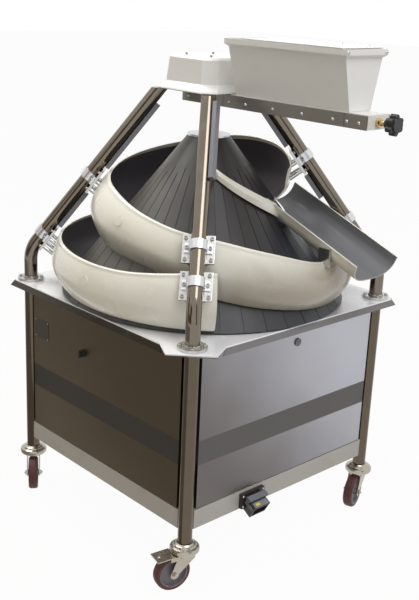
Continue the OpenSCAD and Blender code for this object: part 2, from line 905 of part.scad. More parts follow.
module dosing_roller() {
    color("gray")
        union() {
            translate([roller_x0, 0, dose_z]) rotate([0, 90, 0])
                cylinder(r = bore_r - 1.5, h = roller_x1 - roller_x0);
            translate([tray_x0 + 2, 0, dose_z]) rotate([0, 90, 0])
                cylinder(r = dose_r, h = bar_x1 + 62 - tray_x0);
        }
}

knob_x = bar_x1 + 44;

module star_knob() {
    lobes = 6;
    color("black")
        translate([knob_x, 0, dose_z])
            rotate([0, 90, 0])
                difference() {
                    union() {
                        cylinder(r = knob_d * 0.34, h = 30);
                        translate([0, 0, -14]) cylinder(r = knob_d * 0.2, h = 14);
                        for (k = [0:lobes - 1]) rotate([0, 0, k * 360 / lobes])
                            translate([knob_d * 0.36, 0, 3]) cylinder(r = knob_d * 0.14, h = 22);
                    }
                    translate([0, 0, -15]) cylinder(r = dose_r + shaft_fit, h = 36);
                }
}

// Fittings on the cabinet

conn_y = -165;
conn_z = plinth_z + 54;
conn_w = 76;
conn_h = 46;
conn_l = 70;
conn_tilt = 30;
conn_wall = 5;
insert_x = 50;
pin_x = conn_l - 9;
pin_z = -10;
pin_r = 3;

// X runs out of the socket, tipped down from the plinth's face
module conn_frame() {
    translate([face_out + 1.05, conn_y, conn_z]) rotate([0, conn_tilt, 0]) children();
}

module connector_housing() {
    x = face_out + 1.05;
    w = conn_wall;
    color("dimgray")
        difference() {
            union() {
                conn_frame() translate([0, -conn_w / 2, -conn_h]) cube([conn_l, conn_w, conn_h]);
                translate([x, conn_y - conn_w / 2 - 16, plinth_z + 4]) cube([14, conn_w + 32, plinth_h - 14]);
            }
            translate([x - 100, conn_y - 100, plinth_z - 100]) cube([100, 200, 300]);
            conn_frame() {
                translate([insert_x - 12, -conn_w / 2 + w, -conn_h + w])
                    cube([conn_l, conn_w - 2 * w, conn_h - 2 * w]);
                for (s = [-1, 1])
                    translate([pin_x, s * conn_w / 2 + 2, pin_z])
                        rotate([90, 0, 0]) cylinder(r = pin_r + shaft_fit, h = 4);
            }
        }
}

module connector_insert() {
    w = conn_w - 2 * conn_wall - 8;
    h = conn_h - 2 * conn_wall - 6;
    color("beige")
        conn_frame()
            translate([insert_x - 11.95, -w / 2, -conn_h / 2 - h / 2]) {
                cube([12, w, h]);
                for (i = [0:4], j = [0:2])
                    translate([11, 7 + i * (w - 14) / 4, 5 + j * (h - 10) / 2])
                        rotate([0, 90, 0]) cylinder(r = 2, h = 8);
            }
}

// locking frame on two side pins, with a grip across the top of the socket
module connector_lever() {
    y0 = conn_w / 2 + 0.4;
    color("darkgray")
        conn_frame() {
            for (s = [-1, 1]) {
                translate([26, s > 0 ? y0 : -y0 - 4, pin_z - 5]) cube([pin_x - 20, 4, 10]);
                translate([26, s > 0 ? y0 : -y0 - 4, pin_z - 2]) cube([14, 4, 26]);
                translate([pin_x, s * (y0 - 1) + 1, pin_z]) rotate([90, 0, 0]) cylinder(r = pin_r, h = 2);
            }
            translate([24, -y0 - 4, 4]) cube([20, 2 * y0 + 8, 10]);
        }
}

module switch_body() {
    color("black")
        translate([switch_pos[0], -face_out, switch_pos[1]])
            rotate([90, 0, 0]) {
                ring(14, 6.05, 5);
                translate([0, 0, -30]) ring(fitting_r - 0.1, 6.05, 30);
            }
}

module switch_knob() {
    color("black")
        translate([switch_pos[0], -face_out - 5.3, switch_pos[1]])
            rotate([90, 0, 0]) {
                cylinder(r = 12, h = 5);
                translate([-4, -12, 4]) cube([8, 24, 12]);
                translate([0, 0, -24]) cylinder(r = 6, h = 25);
            }
}

module panel_lock() {
    color("dimgray")
        translate([face_out + seat, lock_pos[0], lock_pos[1]])
            rotate([0, 90, 0]) {
                cylinder(r = 14, h = 4);
                translate([0, 0, -22]) cylinder(r = fitting_r - shaft_fit, h = 22.5);
                translate([-8, -10, -26]) cube([16, 50, 4]);
            }
}

module name_plate() {
    color("gray")
        translate([-panel_half + 12, -face_out - 1.05, table_h - 208]) cube([86, 1, 72]);
}

// Casters

king_r = 8;
crown_z = wheel_d + 6;
crown_h = 12;
cup_z = crown_z + 5;
axle_r = 5;
cheek_t = 4;
cheek_in = tread_w / 2 + 4;

module cup() {
    top = caster_h;
    difference() {
        union() {
            rotate_extrude()
                polygon([[0, top - 0.05], [tube_r + 4, top - 0.05], [tube_r + 8, top - 4],
                    [cup_r - 13, top - 6], [cup_r - 10, top - 11], [cup_r - 3, top - 14],
                    [cup_r, top - 19], [cup_r, cup_z], [0, cup_z]]);
            translate([0, 0, top - 1]) cylinder(r = tube_r - tube_wall - 0.1, h = 50);
        }
        translate([0, 0, cup_z - 1]) cylinder(r = cup_r - 4, h = crown_h - 4);
    }
    translate([0, 0, crown_z - 3]) cylinder(r = king_r, h = crown_h + 6);
}

module caster_cups() {
    color("silver") at_legs() cup();
}

pedal_pivot = [24, crown_z - 9];
pedal_pin = 3;

// fork with its wheel trailing along +X of its own frame
module fork() {
    top = crown_z + crown_h - 2;
    difference() {
        union() {
            translate([0, 0, crown_z]) cylinder(r = cup_r - 5, h = top - crown_z);
            for (s = [-1, 1])
                translate([0, s > 0 ? cheek_in + cheek_t : -cheek_in, 0])
                    rotate([90, 0, 0])
                        linear_extrude(cheek_t) {
                            polygon([[-30, crown_z + 4], [34, crown_z + 4], [38, crown_z - 16],
                                [trail + 13, wheel_d / 2 + 4], [trail - 13, wheel_d / 2 - 2],
                                [-28, crown_z - 20]]);
                            translate([trail, wheel_d / 2]) circle(r = 15);
                        }
            for (s = [-1, 1])
                translate([trail, s * (cheek_in + cheek_t - 1), wheel_d / 2])
                    rotate([s * -90, 0, 0]) cylinder(r = 9, h = 7, $fn = 6);
            translate([trail, cheek_in + 1, wheel_d / 2]) rotate([90, 0, 0])
                cylinder(r = axle_r, h = 2 * cheek_in + 2);
        }
        translate([0, 0, crown_z - 10]) cylinder(r = king_r + shaft_fit, h = 60);
        translate([pedal_pivot[0], 100, pedal_pivot[1]]) rotate([90, 0, 0])
            cylinder(r = pedal_pin + shaft_fit, h = 200);
    }
}

tread_t = 12;
hub_len = 2 * cheek_in - 1;

module wheel_profile() {
    ro = wheel_d / 2 - tread_t;
    difference() {
        rotate_extrude()
            polygon([[0, -hub_len / 2], [12, -hub_len / 2], [13, -8], [ro - 8, -5], [ro - 4, -tread_w / 2],
                [ro, -tread_w / 2], [ro, tread_w / 2], [ro - 4, tread_w / 2], [ro - 8, 5], [13, 8],
                [12, hub_len / 2], [0, hub_len / 2]]);
        translate([0, 0, -hub_len]) cylinder(r = axle_r + shaft_fit, h = 2 * hub_len);
    }
}

module tread() {
    ri = wheel_d / 2 - tread_t;
    rotate_extrude()
        polygon([[ri, -tread_w / 2 + 1], [wheel_d / 2 - 5, -tread_w / 2], [wheel_d / 2 - 1, -tread_w / 2 + 4],
            [wheel_d / 2, -tread_w / 2 + 9], [wheel_d / 2, tread_w / 2 - 9],
            [wheel_d / 2 - 1, tread_w / 2 - 4],
            [wheel_d / 2 - 5, tread_w / 2], [ri, tread_w / 2 - 1]]);
}

// heading of each caster's trail: front, left, right and rear corner
headings = [-104, -35, -71, 200];

module caster(k) {
    translate([corners[k][0] * a, corners[k][1] * a, 0]) rotate([0, 0, headings[k]]) children();
}

module axle_frame() {
    translate([trail, 0, wheel_d / 2]) rotate([90, 0, 0]) children();
}

module whole_wheel(k) {
    color("silver") caster(k) axle_frame() wheel_profile();
}

module fork_front() {
    color("silver") caster(0) fork();
}

module wheel_front() {
    whole_wheel(0);
}

module tread_front() {
    color("maroon") caster(0) axle_frame() tread();
}

module plain_wheel(k) {
    color("maroon")
        caster(k) axle_frame()
            union() {
                wheel_profile();
                tread();
            }
}

module fork_left() {
    color("silver") caster(1) fork();
}

module wheel_left() {
    plain_wheel(1);
}

module fork_right() {
    color("silver") caster(2) fork();
}

module wheel_right() {
    plain_wheel(2);
}

module fork_rear() {
    color("silver") caster(3) fork();
}

module wheel_rear() {
    plain_wheel(3);
}

// foot pedal of the front caster, pivoted on the cheeks above the wheel
pedal_z = wheel_d + 4;
pedal_drop = 4;
pedal_w = 2 * (cheek_in + cheek_t + 5);

module brake_front() {
    color("silver")
        caster(0) {
            translate([trail, -pedal_w / 2, pedal_z])
                rotate([0, pedal_drop, 0])
                    difference() {
                        cube([64, pedal_w, 4]);
                        translate([48, pedal_w / 2, -1]) cylinder(r = 5, h = 10);
                    }
            for (s = [-1, 1]) {
                translate([pedal_pivot[0] - 7, s > 0 ? pedal_w / 2 - 4 : -pedal_w / 2 + 1,
                    pedal_pivot[1] - 7])
                    cube([trail + 24 - pedal_pivot[0], 3, pedal_z - pedal_pivot[1] + 8]);
                translate([pedal_pivot[0], s * (cheek_in + 5) + 5, pedal_pivot[1]])
                    rotate([90, 0, 0]) cylinder(r = pedal_pin, h = 10);
            }
        }
}

leg_tubes();
table_top();
front_panel();
rear_panel();
right_panel();
left_panel();
plinth_rails();
floor_plate();
bearing_housing();
main_shaft();
driven_pulley();
drive_pulley();
drive_belt();
gear_motor();
motor_bracket();
cone_shell();
cone_hub();
cone_cap();
upright_tubes();
upright_discs();
disc_bolts();
hub_plate();
hub_cover();
air_ducts();
track_lower();
track_middle();
track_upper();
clamp_plates();
clamp_saddles();
clamp_screws();
track_standoffs();
chute();
chute_guide();
chute_brackets();
duster_bars();
duster_tray();
hopper();
hopper_lid();
lid_hinges();
dosing_roller();
star_knob();
connector_housing();
connector_insert();
connector_lever();
switch_body();
switch_knob();
panel_lock();
name_plate();
caster_cups();
fork_front();
wheel_front();
tread_front();
fork_left();
wheel_left();
fork_right();
wheel_right();
fork_rear();
wheel_rear();
brake_front();
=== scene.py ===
"""Looks of a conical dough rounder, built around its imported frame. Metres, Z up, floor at Z = 0."""

import math

import bmesh
import bpy
from mathutils import Matrix, Vector


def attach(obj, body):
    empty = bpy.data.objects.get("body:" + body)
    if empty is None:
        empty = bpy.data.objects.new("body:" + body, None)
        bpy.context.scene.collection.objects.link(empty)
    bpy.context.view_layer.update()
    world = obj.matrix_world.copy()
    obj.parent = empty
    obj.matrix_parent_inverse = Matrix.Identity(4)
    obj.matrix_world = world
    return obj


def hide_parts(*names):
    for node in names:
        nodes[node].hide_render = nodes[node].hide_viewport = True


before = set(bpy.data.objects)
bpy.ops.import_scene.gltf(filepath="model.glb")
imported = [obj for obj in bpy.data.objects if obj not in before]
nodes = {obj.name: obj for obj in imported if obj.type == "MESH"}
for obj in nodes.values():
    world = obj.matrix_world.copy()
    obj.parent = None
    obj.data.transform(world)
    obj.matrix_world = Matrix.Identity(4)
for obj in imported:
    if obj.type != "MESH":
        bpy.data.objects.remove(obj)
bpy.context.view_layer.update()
MM = 0.001

# Places that finishes read, in metres
BAND_LOW, BAND_HIGH = 0.434, 0.520
# FLANGE_TOP and FLANGE_FRONT bound the table flange's painted shade; RIGHTWARD points the way of the painted
# shade on the track and the cone.
FLANGE_TOP, FLANGE_FRONT = 0.8362, -0.498
RIGHTWARD = (0.677, 0.735)


# Camera: where the photograph was taken from, with the cone's axis near the middle of the frame.

FRAME_PX = (419, 600)
FOCAL_PX = 968.67
SENSOR_MM = 36.0
CAMERA_AT = Vector((2.5003, -2.3279, 1.8999))
CAMERA_AZIMUTH, CAMERA_ELEVATION, CAMERA_ROLL = (math.radians(v) for v in (46.57, 17.95, 2.57))


def camera_axes():
    back = Vector((
        math.sin(CAMERA_AZIMUTH) * math.cos(CAMERA_ELEVATION),
        -math.cos(CAMERA_AZIMUTH) * math.cos(CAMERA_ELEVATION),
        math.sin(CAMERA_ELEVATION)))
    level = (-back).cross(Vector((0, 0, 1))).normalized()
    upright = level.cross(-back)
    c, s = math.cos(CAMERA_ROLL), math.sin(CAMERA_ROLL)
    return c * level + s * upright, c * upright - s * level, back


def make_camera():
    data = bpy.data.cameras.new("camera")
    data.lens = FOCAL_PX / max(FRAME_PX) * SENSOR_MM
    data.sensor_width = SENSOR_MM
    data.clip_start, data.clip_end = 0.05, 60
    camera = bpy.data.objects.new("camera", data)
    bpy.context.scene.collection.objects.link(camera)
    camera.matrix_world = Matrix.Translation(CAMERA_AT) @ Matrix(camera_axes()).transposed().to_4x4()
    bpy.context.scene.camera = camera


make_camera()
bpy.context.scene.view_settings.view_transform = "Standard"


# Shader maths

class Signal:
    """A shader socket; a sum or product of signals and numbers adds its Math nodes."""

    def __init__(self, look, socket):
        self.look, self.socket = look, socket

    def maths(self, operation, *values):
        return self.look.node("ShaderNodeMath", {"operation": operation}, values)

    def __add__(self, other):
        return self.maths("ADD", self, other)

    __radd__ = __add__

    def __sub__(self, other):
        return self.maths("SUBTRACT", self, other)

    def __rsub__(self, other):
        return self.maths("SUBTRACT", other, self)

    def __mul__(self, other):
        return self.maths("MULTIPLY", self, other)

    __rmul__ = __mul__

    def __gt__(self, other):
        return self.maths("GREATER_THAN", self, other)

    def __lt__(self, other):
        return self.maths("LESS_THAN", self, other)

    def least(self, other):
        return self.maths("MINIMUM", self, other)

    def ramp(self, low, high):
        """Smooth step from 0 at low to 1 at high."""
        return self.look.node("ShaderNodeMapRange", {"interpolation_type": "SMOOTHSTEP"}, (self, low, high))


class Look:
    """The nodes of a material or world, which all come from one method."""

    def __init__(self, owner):
        owner.use_nodes = True
        self.owner, self.tree = owner, owner.node_tree
        self.tree.nodes.clear()

    def node(self, kind, settings, inputs, output=0):
        """Adds a node with its settings, then the values or links of its sockets."""
        made = self.tree.nodes.new(kind)
        for key, value in settings.items():
            setattr(made, key, value)
        pairs = inputs.items() if isinstance(inputs, dict) else enumerate(inputs)
        for key, value in pairs:
            if isinstance(value, Signal):
                self.tree.links.new(value.socket, made.inputs[key])
            else:
                made.inputs[key].default_value = value
        return Signal(self, made.outputs[output]) if made.outputs else None

    def here(self):
        return self.node("ShaderNodeTexCoord", {}, (), "Object")

    def axis(self, letter):
        return self.node("ShaderNodeSeparateXYZ", {}, (self.here(),), letter)

    def across(self):
        """Distance from the axis of the cone, to the right in the photograph."""
        return self.axis("X") * RIGHTWARD[0] + self.axis("Y") * RIGHTWARD[1]

    def noise(self, size, detail=3.0, stretch=(1, 1, 1), roughness=0.5):
        """Noise with features of about the given size in metres."""
        scaled = self.node("ShaderNodeMapping", {},
                           {"Vector": self.here(), "Scale": [1.0 / (size * s) for s in stretch]})
        return self.node("ShaderNodeTexNoise", {"noise_dimensions": "3D"},
                         {"Vector": scaled, "Scale": 1.0, "Detail": detail, "Roughness": roughness})

    def blend(self, share, first, second):
        return self.node("ShaderNodeMix", {"data_type": "RGBA"}, {0: share, 6: first, 7: second}, 2)

    def bump(self, height, depth):
        return self.node("ShaderNodeBump", {}, {"Strength": 1.0, "Distance": depth, "Height": height})

    def surface(self, color, roughness, metallic, normal, **more):
        values = {"Base Color": color, "Roughness": roughness, "Metallic": metallic, "Normal": normal}
        values.update((name.replace("_", " ").title(), value) for name, value in more.items())
        shader = self.node("ShaderNodeBsdfPrincipled", {}, values)
        self.node("ShaderNodeOutputMaterial", {}, {"Surface": shader})
        return self.owner


def new_look(name):
    return Look(bpy.data.materials.new(name))


def rgb(r, g, b):
    return (r, g, b, 1.0)


def darker(color, share):
    return rgb(*(c * share for c in color))


def brushed_steel(name, color, along, rough):
    """Steel with fine brush lines along one axis: 0, 1 or 2."""
    look = new_look(name)
    stretch = [1.0, 1.0, 1.0]
    stretch[along] = 60.0
    lines = look.noise(1.0 * MM, 4.0, stretch, 0.65)
    cloud = look.noise(0.11, 2.0)
    shade = look.blend(lines.ramp(0.3, 0.7), darker(color, 0.88), rgb(*color))
    return look.surface(shade, rough + (cloud - 0.5) * 0.12 + (lines - 0.5) * 0.16, 1.0,
                        look.bump(lines, 0.04 * MM))


def polished_steel(name, color, rough):
    """Drawn and polished metal with faint upright lines and smudges."""
    look = new_look(name)
    lines = look.noise(1.6 * MM, 3.0, (1, 1, 40))
    smudge = look.noise(0.05, 4.0)
    shade = look.blend(smudge.ramp(0.35, 0.7), darker(color, 0.93), rgb(*color))
    return look.surface(shade, rough + smudge.ramp(0.4, 0.75) * 0.1 + (lines - 0.5) * 0.05, 1.0,
                        look.bump(lines, 0.02 * MM))


def paint(name, color, rough, grime, peel=0.05 * MM, coat=0.25):
    """Sprayed enamel: orange peel, faint handling marks, dulled here and there."""
    look = new_look(name)
    skin = look.noise(1.8 * MM, 2.0)
    patch = look.noise(0.09, 5.0, (1, 1, 1), 0.6)
    dust = patch.ramp(0.45, 0.8)
    shade = look.blend(dust * grime, rgb(*color), darker(color, 0.6))
    return look.surface(shade, rough + dust * 0.14 + (skin - 0.5) * 0.04, 0.0,
                        look.bump(skin, peel), coat_weight=coat)


def plastic(name, color, rough=0.5):
    """Moulded plastic with a fine grain, paler where it is handled."""
    look = new_look(name)
    grain = look.noise(0.6 * MM, 2.0)
    patch = look.noise(0.04, 4.0)
    handled = rgb(*(min(1, c * 1.35 + 0.01) for c in color))
    shade = look.blend(patch.ramp(0.4, 0.8) * 0.25, rgb(*color), handled)
    return look.surface(shade, rough + (patch - 0.5) * 0.2, 0.0, look.bump(grain, 0.05 * MM))


def cast(name, color):
    """Painted casting with a rough skin."""
    look = new_look(name)
    skin = look.noise(2.4 * MM, 4.0)
    patch = look.noise(0.06, 4.0)
    shade = look.blend(patch.ramp(0.35, 0.75), darker(color, 0.8), rgb(*color))
    return look.surface(shade, 0.45 + (patch - 0.5) * 0.2, 0.0, look.bump(skin, 0.2 * MM))


def panel_steel(name, pale, dark, band, rough, along, low, high):
    """Satin cabinet sheet with a painted reflection that pales it along one horizontal axis and upwards, and
    a printed band.
    """
    look = new_look(name)
    lines = look.noise(1.0 * MM, 4.0, (60, 60, 1), 0.65)
    cloud = look.noise(0.25, 2.0)
    height = look.axis("Z")
    # Painted reflection: the sheet's colour sweeps from its dark tone to its pale tone along the axis and
    # upwards.
    sweep = look.axis(along) + (height - 0.5) * 0.9 + (cloud - 0.5) * 0.25
    steel = look.blend(sweep.ramp(low, high), rgb(*dark), rgb(*pale))
    inside = (height > BAND_LOW) * (height < BAND_HIGH)
    return look.surface(look.blend(inside, steel, rgb(*band)),
                        rough + (cloud - 0.5) * 0.1 + (lines - 0.5) * 0.12 + inside * 0.06,
                        0.92 - inside * 0.6, look.bump(lines * (1 - inside), 0.03 * MM))


def table_sheet(name):
    """White enamel on top; the bent flange below it has painted shade and a painted reflection of the floor,
    grey at the sides and near black at the front.
    """
    look = new_look(name)
    skin = look.noise(1.8 * MM, 2.0)
    patch = look.noise(0.09, 5.0, (1, 1, 1), 0.6)
    flange = look.axis("Z") < FLANGE_TOP
    front = look.axis("Y") < FLANGE_FRONT
    # Painted shade: the flange's grey sides and near black front.
    shaded_flange = look.blend(front, rgb(0.19, 0.18, 0.18), rgb(0.035, 0.027, 0.018))
    enamel = look.blend(patch.ramp(0.45, 0.8) * 0.06, rgb(0.90, 0.90, 0.92), rgb(0.6, 0.6, 0.6))
    return look.surface(look.blend(flange, enamel, shaded_flange), 0.2 + patch.ramp(0.45, 0.8) * 0.14, 0.0,
                        look.bump(skin, 0.03 * MM), coat_weight=(1 - flange) * 0.5)


def track_enamel(name):
    """Thick glossy ivory, with painted shade that turns it greyer and warmer low on the right."""
    look = new_look(name)
    skin = look.noise(2.4 * MM, 2.0)
    wave = look.noise(0.07, 2.0, (1, 1, 0.6))
    patch = look.noise(0.09, 5.0, (1, 1, 1), 0.6)
    ivory = look.blend(patch.ramp(0.45, 0.8) * 0.1, rgb(0.88, 0.86, 0.75), rgb(0.55, 0.52, 0.44))
    # Painted shade low on the right of the track, toward a warm grey.
    shade = look.across().ramp(0.02, 0.12) * look.axis("Z").ramp(1.12, 0.96)
    return look.surface(look.blend(shade * 0.8, ivory, rgb(0.34, 0.29, 0.215)),
                        0.24 + patch.ramp(0.4, 0.8) * 0.1, 0.0,
                        look.bump(wave * 0.9 + skin * 0.1, 0.9 * MM), coat_weight=0.45)


def cone_coating(name):
    """Dark non-stick coat over the grooved cone, with fine turning marks and painted light and shade: paler
    on the left, near black past the middle, a painted bluish reflection on the right, and darkest at its
    foot by the table.
    """
    look = new_look(name)
    turning = look.node("ShaderNodeTexNoise", {"noise_dimensions": "1D"},
                        {"W": look.axis("Z") * 1200.0, "Scale": 1.0, "Detail": 2.0})
    cloud = look.noise(0.12, 4.0)
    fine = look.noise(1.2 * MM, 2.0)
    # Painted light and shade across the cone, a painted reflection on its right, and painted shade at its
    # foot.
    across = look.across() + (cloud - 0.5) * 0.1
    shade = look.blend(across.ramp(-0.26, 0.03), rgb(0.165, 0.160, 0.138), rgb(0.022, 0.018, 0.017))
    shade = look.blend(across.ramp(0.15, 0.42), shade, rgb(0.075, 0.085, 0.11))
    shade = look.blend(look.axis("Z").ramp(1.0, 0.87) * 0.85, shade, rgb(0.024, 0.024, 0.027))
    return look.surface(shade, 0.45 + (cloud - 0.5) * 0.16 + (fine - 0.5) * 0.05, 0.0,
                        look.bump(turning * 0.4 + fine * 0.6, 0.03 * MM), coat_weight=0.04)


def rubber(name, color):
    """Scuffed rubber."""
    look = new_look(name)
    scuff = look.noise(6 * MM, 5.0, (1, 1, 1), 0.7)
    patch = look.noise(0.03, 3.0)
    shade = look.blend(scuff.ramp(0.5, 0.75) * 0.5, rgb(*color), rgb(*(c * 0.6 + 0.12 for c in color)))
    return look.surface(shade, 0.55 + (patch - 0.5) * 0.2, 0.0, look.bump(scuff, 0.15 * MM))


# The tubes' warm dark brown colour is a painted reflection of a dim warm room; the legs' darker copy under
# the table is painted shade.
tube_steel = polished_steel("tube_steel", (0.22, 0.187, 0.15), 0.09)
shaded_leg_steel = polished_steel("shaded_leg_steel", (0.135, 0.108, 0.08), 0.14)
sheet_steel = brushed_steel("sheet_steel", (0.56, 0.55, 0.53), 0, 0.32)
# Painted shade: the front panel is a darker, warmer copy of the side panels' sheet, its band too; on both,
# the sweep from dark to pale is a painted reflection.
shaded_front_steel = panel_steel("shaded_front_steel", (0.17, 0.14, 0.10), (0.12, 0.095, 0.064), (0.045, 0.038, 0.03),
                          0.4, "X", 0.3, -0.5)
side_steel = panel_steel("side_steel", (0.50, 0.505, 0.55), (0.16, 0.145, 0.14), (0.10, 0.094, 0.09),
                         0.36, "Y", -0.45, 0.55)
plinth_steel = paint("plinth_steel", (0.46, 0.44, 0.395), 0.4, 0.15, 0.03 * MM, 0.15)
turned_steel = brushed_steel("turned_steel", (0.62, 0.61, 0.59), 1, 0.26)
dark_steel = brushed_steel("dark_steel", (0.34, 0.33, 0.31), 0, 0.34)
bolt_steel = polished_steel("bolt_steel", (0.58, 0.56, 0.53), 0.24)
zinc = polished_steel("zinc", (0.47, 0.43, 0.36), 0.2)
brass = polished_steel("brass", (0.62, 0.47, 0.22), 0.26)
cap_metal = brushed_steel("cap_metal", (0.74, 0.75, 0.77), 0, 0.3)
table_paint = table_sheet("table_paint")
track_paint = track_enamel("track_paint")
cover_paint = paint("cover_paint", (0.80, 0.79, 0.76), 0.36, 0.06)
lining = paint("lining", (0.125, 0.115, 0.13), 0.42, 0.2, 0.06 * MM, 0.1)
cone_coat = cone_coating("cone_coat")
grey_plastic = plastic("grey_plastic", (0.15, 0.16, 0.18))
strip_plastic = plastic("strip_plastic", (0.20, 0.20, 0.22), 0.42)
black_plastic = plastic("black_plastic", (0.025, 0.025, 0.028), 0.42)
insert_plastic = plastic("insert_plastic", (0.40, 0.39, 0.26), 0.5)
core_plastic = plastic("core_plastic", (0.19, 0.17, 0.19), 0.45)
plate_grey = plastic("plate_grey", (0.045, 0.036, 0.03), 0.35)
chute_grey = paint("chute_grey", (0.165, 0.167, 0.175), 0.36, 0.12, 0.04 * MM, 0.15)
flap_grey = plastic("flap_grey", (0.20, 0.20, 0.21), 0.45)
socket_plastic = plastic("socket_plastic", (0.030, 0.021, 0.022), 0.36)
yellow_patch = plastic("yellow_patch", (0.80, 0.62, 0.05), 0.45)
tread_rubber = rubber("tread_rubber", (0.09, 0.022, 0.018))
belt_rubber = rubber("belt_rubber", (0.03, 0.03, 0.03))
motor_paint = cast("motor_paint", (0.13, 0.18, 0.24))


# Mesh helpers

def facing(centre, out, up=(0, 0, 1)):
    """Matrix that stands at centre with its Z along out and its Y towards up."""
    z = Vector(out).normalized()
    x = Vector(up).cross(z)
    if x.length < 1e-6:
        x = Vector((1, 0, 0)).cross(z)
    x.normalize()
    return Matrix.Translation(centre) @ Matrix((x, z.cross(x), z)).transposed().to_4x4()


def lathe(profile, steps=32):
    """Solid of revolution about Z from (radius, height) points."""
    shape = bmesh.new()
    line = [shape.verts.new((r, 0, h)) for r, h in profile]
    for pair in zip(line, line[1:]):
        shape.edges.new(pair)
    bmesh.ops.spin(shape, geom=shape.verts[:] + shape.edges[:], cent=(0, 0, 0), axis=(0, 0, 1),
                   angle=math.tau, steps=steps, use_merge=True)
    bmesh.ops.remove_doubles(shape, verts=shape.verts[:], dist=1e-7)
    bmesh.ops.recalc_face_normals(shape, faces=shape.faces[:])
    return shape


def in_metres(*profile):
    """Profile given in millimetres."""
    return [(r * MM, h * MM) for r, h in profile]


def block(size, bevel=0.0):
    """Box centred on the origin with rounded edges."""
    shape = bmesh.new()
    bmesh.ops.create_cube(shape, size=1.0, matrix=Matrix.Diagonal((*size, 1.0)))
    if bevel:
        bmesh.ops.bevel(shape, geom=shape.edges[:], offset=bevel, offset_type="OFFSET", affect="EDGES",
                        segments=2, profile=0.5, material=-1)
    return shape


def stamp(target, part, places):
    """Adds part to target once at each place."""
    mesh = bpy.data.meshes.new("stamp")
    part.to_mesh(mesh)
    part.free()
    for place in places:
        start = len(target.verts)
        target.from_mesh(mesh)
        target.verts.ensure_lookup_table()
        bmesh.ops.transform(target, matrix=place, verts=target.verts[start:])
    bpy.data.meshes.remove(mesh)


def show(name, shape, looks, body, stands_for):
    """Object from a finished mesh, riding on its body."""
    mesh = bpy.data.meshes.new(name)
    shape.to_mesh(mesh)
    shape.free()
    made = bpy.data.objects.new(name, mesh)
    bpy.context.scene.collection.objects.link(made)
    for look in looks:
        mesh.materials.append(look)
    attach(made, body)
    if stands_for:
        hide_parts(*stands_for)
    return made


def piece(name, shape, looks, body="frame", stands_for=(), sharp=35):
    """New piece, smooth but for edges over the sharp angle; its faces point into the list of looks."""
    bmesh.ops.remove_doubles(shape, verts=shape.verts[:], dist=1e-7)
    made = show(name, shape, looks, body, stands_for)
    for face in made.data.polygons:
        face.use_smooth = True
    made.data.set_sharp_from_angle(angle=math.radians(sharp))


def round_by_angle():
    """Geometry node group that shades a mesh smooth but for edges over 32 degrees."""
    group = bpy.data.node_groups.new("round_by_angle", "GeometryNodeTree")
    group.interface.new_socket("Geometry", in_out="INPUT", socket_type="NodeSocketGeometry")
    group.interface.new_socket("Geometry", in_out="OUTPUT", socket_type="NodeSocketGeometry")
    start = group.nodes.new("NodeGroupInput")
    face = group.nodes.new("GeometryNodeSetShadeSmooth")
    edge = group.nodes.new("GeometryNodeSetShadeSmooth")
    edge.domain = "EDGE"
    edge.inputs["Shade Smooth"].default_value = False
    angle = group.nodes.new("GeometryNodeInputMeshEdgeAngle")
    compare = group.nodes.new("FunctionNodeCompare")
    compare.data_type, compare.operation = "FLOAT", "GREATER_THAN"
    compare.inputs[1].default_value = math.radians(32)
    end = group.nodes.new("NodeGroupOutput")
    group.links.new(start.outputs[0], face.inputs["Geometry"])
    group.links.new(face.outputs[0], edge.inputs["Geometry"])
    group.links.new(angle.outputs["Unsigned Angle"], compare.inputs[0])
    group.links.new(compare.outputs[0], edge.inputs["Selection"])
    group.links.new(edge.outputs[0], end.inputs[0])
    return group


smoothing = round_by_angle()


def finish_edges(shown, bevel):
    """Welds, clears flat faces of their triangles, softens edges and smooths round faces."""
    weld = shown.modifiers.new("weld", "WELD")
    weld.merge_threshold = 0.01 * MM
    if bevel:
        flat = shown.modifiers.new("flat", "DECIMATE")
        flat.decimate_type, flat.angle_limit = "DISSOLVE", math.radians(0.4)
        flat.delimit = {"MATERIAL"}
        edge = shown.modifiers.new("edges", "BEVEL")
        edge.width, edge.segments = bevel, 2
        edge.limit_method, edge.angle_limit = "ANGLE", math.radians(40)
    shown.modifiers.new("smooth", "NODES").node_group = smoothing
    weigh = shown.modifiers.new("normals", "WEIGHTED_NORMAL")
    weigh.keep_sharp = True


def dress(node, look, bevel):
    """Gives a CAD node its finish."""
    shown = nodes[node]
    shown.data.materials.clear()
    shown.data.materials.append(look)
    finish_edges(shown, bevel)


def recast(node, body, looks, pick, bevel):
    """A copy of a CAD node whose faces take different finishes by their place and facing."""
    shape = bmesh.new()
    shape.from_mesh(nodes[node].data)
    bmesh.ops.remove_doubles(shape, verts=shape.verts[:], dist=1e-6)
    for face in shape.faces:
        face.material_index = pick(face.calc_center_median(), face.normal)
    made = show(node + "_skin", shape, looks, body, (node,))
    finish_edges(made, bevel)


